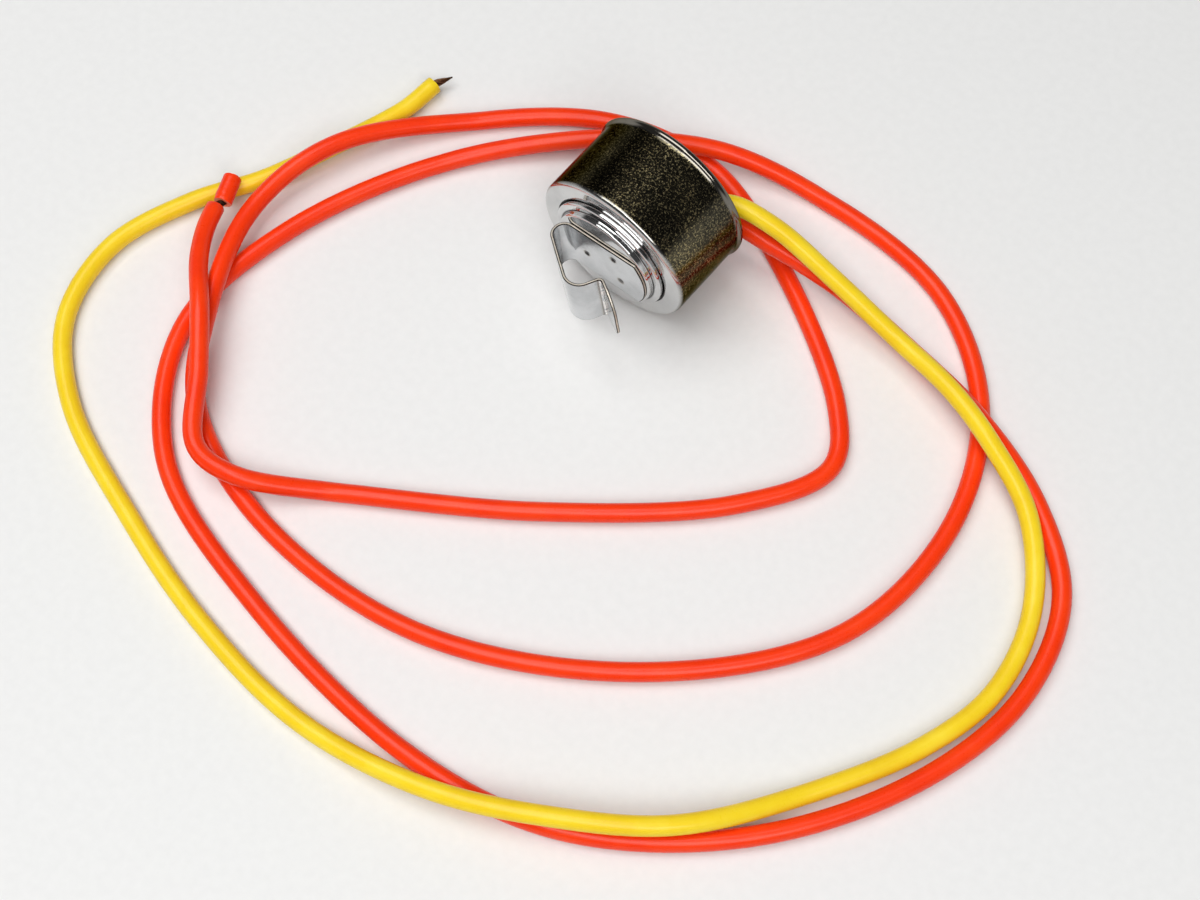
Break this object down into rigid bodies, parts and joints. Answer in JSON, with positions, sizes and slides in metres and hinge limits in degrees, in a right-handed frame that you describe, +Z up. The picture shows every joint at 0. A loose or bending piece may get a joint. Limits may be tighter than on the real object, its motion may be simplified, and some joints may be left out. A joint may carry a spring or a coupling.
{
  "type": "defrost thermostat",
  "caption": "Round metal-cased snap switch with a spring clip for a pipe and two loose insulated leads, potted at the back.",
  "frame": {"origin": "on the surface it lies on, below the middle of the can and its clip", "axes": "+Y along the can's axis from the clip to the leads, +X to the right seen from the clip, +Z up"},
  "size_m": [0.1474, 0.1124, 0.0262],
  "materials": {
    "shell_steel": "bright drawn steel, tin or nickel plated",
    "cap_steel": "bright drawn steel",
    "clip_steel": "bright spring steel strip with fine rolling lines",
    "bimetal": "satin rolled bimetal",
    "guide_plastic": "matt phenolic moulding",
    "pin_ceramic": "glazed ceramic rod",
    "base_plastic": "matt phenolic moulding",
    "arm_bronze": "spring bronze strip",
    "contact_silver": "satin silver",
    "terminal_brass": "stamped brass",
    "seal_rubber": "matt sealing compound",
    "filling": "cast resin with a soft sheen",
    "copper": "tinned copper strands",
    "tarnished_copper": "dull twisted strands",
    "yellow_insulation": "satin extruded insulation",
    "orange_insulation": "satin extruded insulation"
  },
  "bodies": {
    "housing": {"outer_shell": "shell_steel", "sensing_cap": "cap_steel", "tube_clip": "clip_steel", "bimetal_disc": "bimetal", "pin_guide": "guide_plastic", "switch_base": "base_plastic", "fixed_contact": "contact_silver", "fixed_terminal": "terminal_brass", "arm_terminal": "terminal_brass", "arm_rivet": "terminal_brass", "sealing_ring": "seal_rubber", "potting": "filling", "yellow_tail": "copper", "orange_tail": "copper", "yellow_lead": "yellow_insulation", "orange_lead": "orange_insulation", "yellow_bare_end": "tarnished_copper", "orange_bare_end": "tarnished_copper", "orange_slug": "orange_insulation"},
    "arm": {"contact_arm": "arm_bronze", "moving_contact": "contact_silver"},
    "pin": {"transfer_pin": "pin_ceramic"}
  },
  "joints": [
    {"name": "arm_swing", "type": "hinge", "parent": "housing", "child": "arm", "pos_m": [-0.0048, 0.00213, 0.0131], "axis": [0, 0, -1], "range_deg": [0, 2.4]},
    {"name": "pin_travel", "type": "slide", "parent": "housing", "child": "pin", "axis": [0, -1, 0], "range_m": [0, 0.00021], "deforming": ["bimetal_disc"]}
  ],
  "couplings": [
    {"joint": "pin_travel", "follows": "arm_swing", "m_per_rad": 0.0048}
  ]
}
